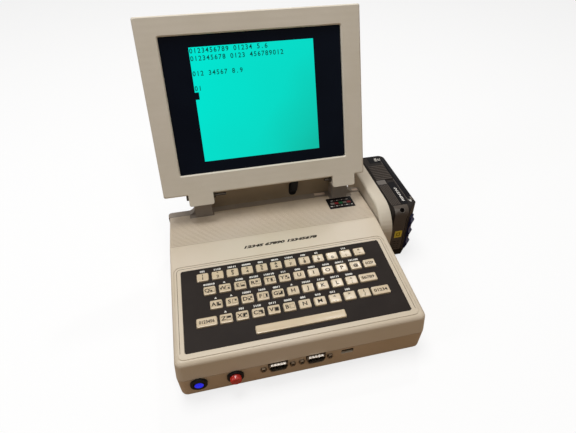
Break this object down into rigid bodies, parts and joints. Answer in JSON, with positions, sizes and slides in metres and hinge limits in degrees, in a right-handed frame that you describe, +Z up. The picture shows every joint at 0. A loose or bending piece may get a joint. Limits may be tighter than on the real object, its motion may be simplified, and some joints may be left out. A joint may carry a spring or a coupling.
{
  "type": "vintage home computer",
  "caption": "Wedge-shaped home computer with a rubber-key deck, a folding flat display lid, front joystick ports and buttons, and a slide-on battery on a side dock.",
  "frame": {"origin": "centre of the case's underside, 4 mm above the surface that the rubber feet stand on", "axes": "+X to the user's right along the key rows, +Y to the back, +Z up"},
  "size_m": [0.262, 0.2441, 0.2448],
  "materials": {
    "beige_case": "moulded ABS, fine grain",
    "grey_print": "printed plastic, fine layer lines",
    "brown_print": "printed plastic, fine layer lines",
    "ivory_print": "printed plastic, smooth",
    "lid_print": "printed plastic, fine layer lines",
    "dark_panel": "anodised and printed plate",
    "key_rubber": "moulded key rubber",
    "contact_film": "printed contact film on a board",
    "circuit_board": "glass fibre board",
    "plated_steel": "nickel plated",
    "black_plastic": "moulded nylon",
    "badge": "printed foil",
    "feet_rubber": "moulded rubber",
    "cable_rubber": "moulded sleeve",
    "display_metal": "pressed frame",
    "display_glass": "satin polariser on glass",
    "blue_plastic": "moulded, glossy",
    "red_plastic": "moulded, glossy",
    "battery_black": "glass filled nylon, fine texture",
    "battery_blue": "moulded, satin",
    "cell_sleeve": "shrink sleeve over steel cans"
  },
  "bodies": {
    "computer": {"base_tray": "beige_case", "top_cover": "beige_case", "rear_ledge": "grey_print", "rear_block": "brown_print", "key_panel": "dark_panel", "key_contact_sheet": "contact_film", "main_board": "circuit_board", "power_board": "circuit_board", "joystick_port_shells": "plated_steel", "joystick_port_inserts": "black_plastic", "button_collars": "black_plastic", "memory_card_socket": "plated_steel", "battery_dock": "ivory_print", "dock_terminals": "black_plastic", "badge_plate": "badge", "rubber_feet": "feet_rubber", "case_screws": "plated_steel", "rear_sockets": "black_plastic", "display_cable": "cable_rubber"},
    "display_lid": {"lid_bezel": "lid_print", "lid_back": "lid_print", "lcd_panel": "display_metal", "screen_glass": "display_glass", "display_board": "circuit_board", "hinge_bolts": "plated_steel", "lid_screws": "plated_steel"},
    "battery": {"battery_case": "battery_black", "battery_cells": "cell_sleeve"},
    "battery_release": {"battery_release": "battery_blue"},
    "blue_button": {"blue_button": "blue_plastic"},
    "red_button": {"red_button": "red_plastic"},
    "space_bar": {"space_bar": "key_rubber"},
    "command_keys": {"command_keys": "key_rubber"},
    "number_keys": {"number_keys": "key_rubber"},
    "key_q": {"key_q": "key_rubber"},
    "key_w": {"key_w": "key_rubber"},
    "key_e": {"key_e": "key_rubber"},
    "key_r": {"key_r": "key_rubber"},
    "key_t": {"key_t": "key_rubber"},
    "key_y": {"key_y": "key_rubber"},
    "key_u": {"key_u": "key_rubber"},
    "key_i": {"key_i": "key_rubber"},
    "key_o": {"key_o": "key_rubber"},
    "key_p": {"key_p": "key_rubber"},
    "key_a": {"key_a": "key_rubber"},
    "key_s": {"key_s": "key_rubber"},
    "key_d": {"key_d": "key_rubber"},
    "key_f": {"key_f": "key_rubber"},
    "key_g": {"key_g": "key_rubber"},
    "key_h": {"key_h": "key_rubber"},
    "key_j": {"key_j": "key_rubber"},
    "key_k": {"key_k": "key_rubber"},
    "key_l": {"key_l": "key_rubber"},
    "key_z": {"key_z": "key_rubber"},
    "key_x": {"key_x": "key_rubber"},
    "key_c": {"key_c": "key_rubber"},
    "key_v": {"key_v": "key_rubber"},
    "key_b": {"key_b": "key_rubber"},
    "key_n": {"key_n": "key_rubber"},
    "key_m": {"key_m": "key_rubber"}
  },
  "joints": [
    {"name": "display_lid_fold", "type": "hinge", "parent": "computer", "child": "display_lid", "pos_m": [0, 0.0765, 0.0789], "axis": [1, 0, 0], "range_deg": [-10, 118.5], "deforming": ["display_cable"]},
    {"name": "battery_slide", "type": "slide", "parent": "computer", "child": "battery", "axis": [0, -1, 0], "range_m": [0, 0.115]},
    {"name": "battery_release_press", "type": "slide", "parent": "battery", "child": "battery_release", "axis": [-0.7071, 0.7071, 0], "range_m": [0, 0.002], "stiffness_N_per_m": 900, "springref_m": -0.001},
    {"name": "blue_button_press", "type": "slide", "parent": "computer", "child": "blue_button", "axis": [0, 1, 0], "range_m": [0, 0.0016], "stiffness_N_per_m": 900, "springref_m": -0.001},
    {"name": "red_button_press", "type": "slide", "parent": "computer", "child": "red_button", "axis": [0, 1, 0], "range_m": [0, 0.0016], "stiffness_N_per_m": 900, "springref_m": -0.001},
    {"name": "space_bar_press", "type": "slide", "parent": "computer", "child": "space_bar", "axis": [0, 0.0698, -0.9976], "range_m": [0, 0.0011], "stiffness_N_per_m": 450, "springref_m": -0.001},
    {"name": "command_keys_press", "type": "slide", "parent": "computer", "child": "command_keys", "axis": [0, 0.0698, -0.9976], "range_m": [0, 0.0011], "stiffness_N_per_m": 700, "springref_m": -0.001},
    {"name": "number_keys_press", "type": "slide", "parent": "computer", "child": "number_keys", "axis": [0, 0.0698, -0.9976], "range_m": [0, 0.0011], "stiffness_N_per_m": 1200, "springref_m": -0.001},
    {"name": "key_q_press", "type": "slide", "parent": "computer", "child": "key_q", "axis": [0, 0.0698, -0.9976], "range_m": [0, 0.0011], "stiffness_N_per_m": 400, "springref_m": -0.001},
    {"name": "key_w_press", "type": "slide", "parent": "computer", "child": "key_w", "axis": [0, 0.0698, -0.9976], "range_m": [0, 0.0011], "stiffness_N_per_m": 400, "springref_m": -0.001},
    {"name": "key_e_press", "type": "slide", "parent": "computer", "child": "key_e", "axis": [0, 0.0698, -0.9976], "range_m": [0, 0.0011], "stiffness_N_per_m": 400, "springref_m": -0.001},
    {"name": "key_r_press", "type": "slide", "parent": "computer", "child": "key_r", "axis": [0, 0.0698, -0.9976], "range_m": [0, 0.0011], "stiffness_N_per_m": 400, "springref_m": -0.001},
    {"name": "key_t_press", "type": "slide", "parent": "computer", "child": "key_t", "axis": [0, 0.0698, -0.9976], "range_m": [0, 0.0011], "stiffness_N_per_m": 400, "springref_m": -0.001},
    {"name": "key_y_press", "type": "slide", "parent": "computer", "child": "key_y", "axis": [0, 0.0698, -0.9976], "range_m": [0, 0.0011], "stiffness_N_per_m": 400, "springref_m": -0.001},
    {"name": "key_u_press", "type": "slide", "parent": "computer", "child": "key_u", "axis": [0, 0.0698, -0.9976], "range_m": [0, 0.0011], "stiffness_N_per_m": 400, "springref_m": -0.001},
    {"name": "key_i_press", "type": "slide", "parent": "computer", "child": "key_i", "axis": [0, 0.0698, -0.9976], "range_m": [0, 0.0011], "stiffness_N_per_m": 400, "springref_m": -0.001},
    {"name": "key_o_press", "type": "slide", "parent": "computer", "child": "key_o", "axis": [0, 0.0698, -0.9976], "range_m": [0, 0.0011], "stiffness_N_per_m": 400, "springref_m": -0.001},
    {"name": "key_p_press", "type": "slide", "parent": "computer", "child": "key_p", "axis": [0, 0.0698, -0.9976], "range_m": [0, 0.0011], "stiffness_N_per_m": 400, "springref_m": -0.001},
    {"name": "key_a_press", "type": "slide", "parent": "computer", "child": "key_a", "axis": [0, 0.0698, -0.9976], "range_m": [0, 0.0011], "stiffness_N_per_m": 400, "springref_m": -0.001},
    {"name": "key_s_press", "type": "slide", "parent": "computer", "child": "key_s", "axis": [0, 0.0698, -0.9976], "range_m": [0, 0.0011], "stiffness_N_per_m": 400, "springref_m": -0.001},
    {"name": "key_d_press", "type": "slide", "parent": "computer", "child": "key_d", "axis": [0, 0.0698, -0.9976], "range_m": [0, 0.0011], "stiffness_N_per_m": 400, "springref_m": -0.001},
    {"name": "key_f_press", "type": "slide", "parent": "computer", "child": "key_f", "axis": [0, 0.0698, -0.9976], "range_m": [0, 0.0011], "stiffness_N_per_m": 400, "springref_m": -0.001},
    {"name": "key_g_press", "type": "slide", "parent": "computer", "child": "key_g", "axis": [0, 0.0698, -0.9976], "range_m": [0, 0.0011], "stiffness_N_per_m": 400, "springref_m": -0.001},
    {"name": "key_h_press", "type": "slide", "parent": "computer", "child": "key_h", "axis": [0, 0.0698, -0.9976], "range_m": [0, 0.0011], "stiffness_N_per_m": 400, "springref_m": -0.001},
    {"name": "key_j_press", "type": "slide", "parent": "computer", "child": "key_j", "axis": [0, 0.0698, -0.9976], "range_m": [0, 0.0011], "stiffness_N_per_m": 400, "springref_m": -0.001},
    {"name": "key_k_press", "type": "slide", "parent": "computer", "child": "key_k", "axis": [0, 0.0698, -0.9976], "range_m": [0, 0.0011], "stiffness_N_per_m": 400, "springref_m": -0.001},
    {"name": "key_l_press", "type": "slide", "parent": "computer", "child": "key_l", "axis": [0, 0.0698, -0.9976], "range_m": [0, 0.0011], "stiffness_N_per_m": 400, "springref_m": -0.001},
    {"name": "key_z_press", "type": "slide", "parent": "computer", "child": "key_z", "axis": [0, 0.0698, -0.9976], "range_m": [0, 0.0011], "stiffness_N_per_m": 400, "springref_m": -0.001},
    {"name": "key_x_press", "type": "slide", "parent": "computer", "child": "key_x", "axis": [0, 0.0698, -0.9976], "range_m": [0, 0.0011], "stiffness_N_per_m": 400, "springref_m": -0.001},
    {"name": "key_c_press", "type": "slide", "parent": "computer", "child": "key_c", "axis": [0, 0.0698, -0.9976], "range_m": [0, 0.0011], "stiffness_N_per_m": 400, "springref_m": -0.001},
    {"name": "key_v_press", "type": "slide", "parent": "computer", "child": "key_v", "axis": [0, 0.0698, -0.9976], "range_m": [0, 0.0011], "stiffness_N_per_m": 400, "springref_m": -0.001},
    {"name": "key_b_press", "type": "slide", "parent": "computer", "child": "key_b", "axis": [0, 0.0698, -0.9976], "range_m": [0, 0.0011], "stiffness_N_per_m": 400, "springref_m": -0.001},
    {"name": "key_n_press", "type": "slide", "parent": "computer", "child": "key_n", "axis": [0, 0.0698, -0.9976], "range_m": [0, 0.0011], "stiffness_N_per_m": 400, "springref_m": -0.001},
    {"name": "key_m_press", "type": "slide", "parent": "computer", "child": "key_m", "axis": [0, 0.0698, -0.9976], "range_m": [0, 0.0011], "stiffness_N_per_m": 400, "springref_m": -0.001}
  ]
}
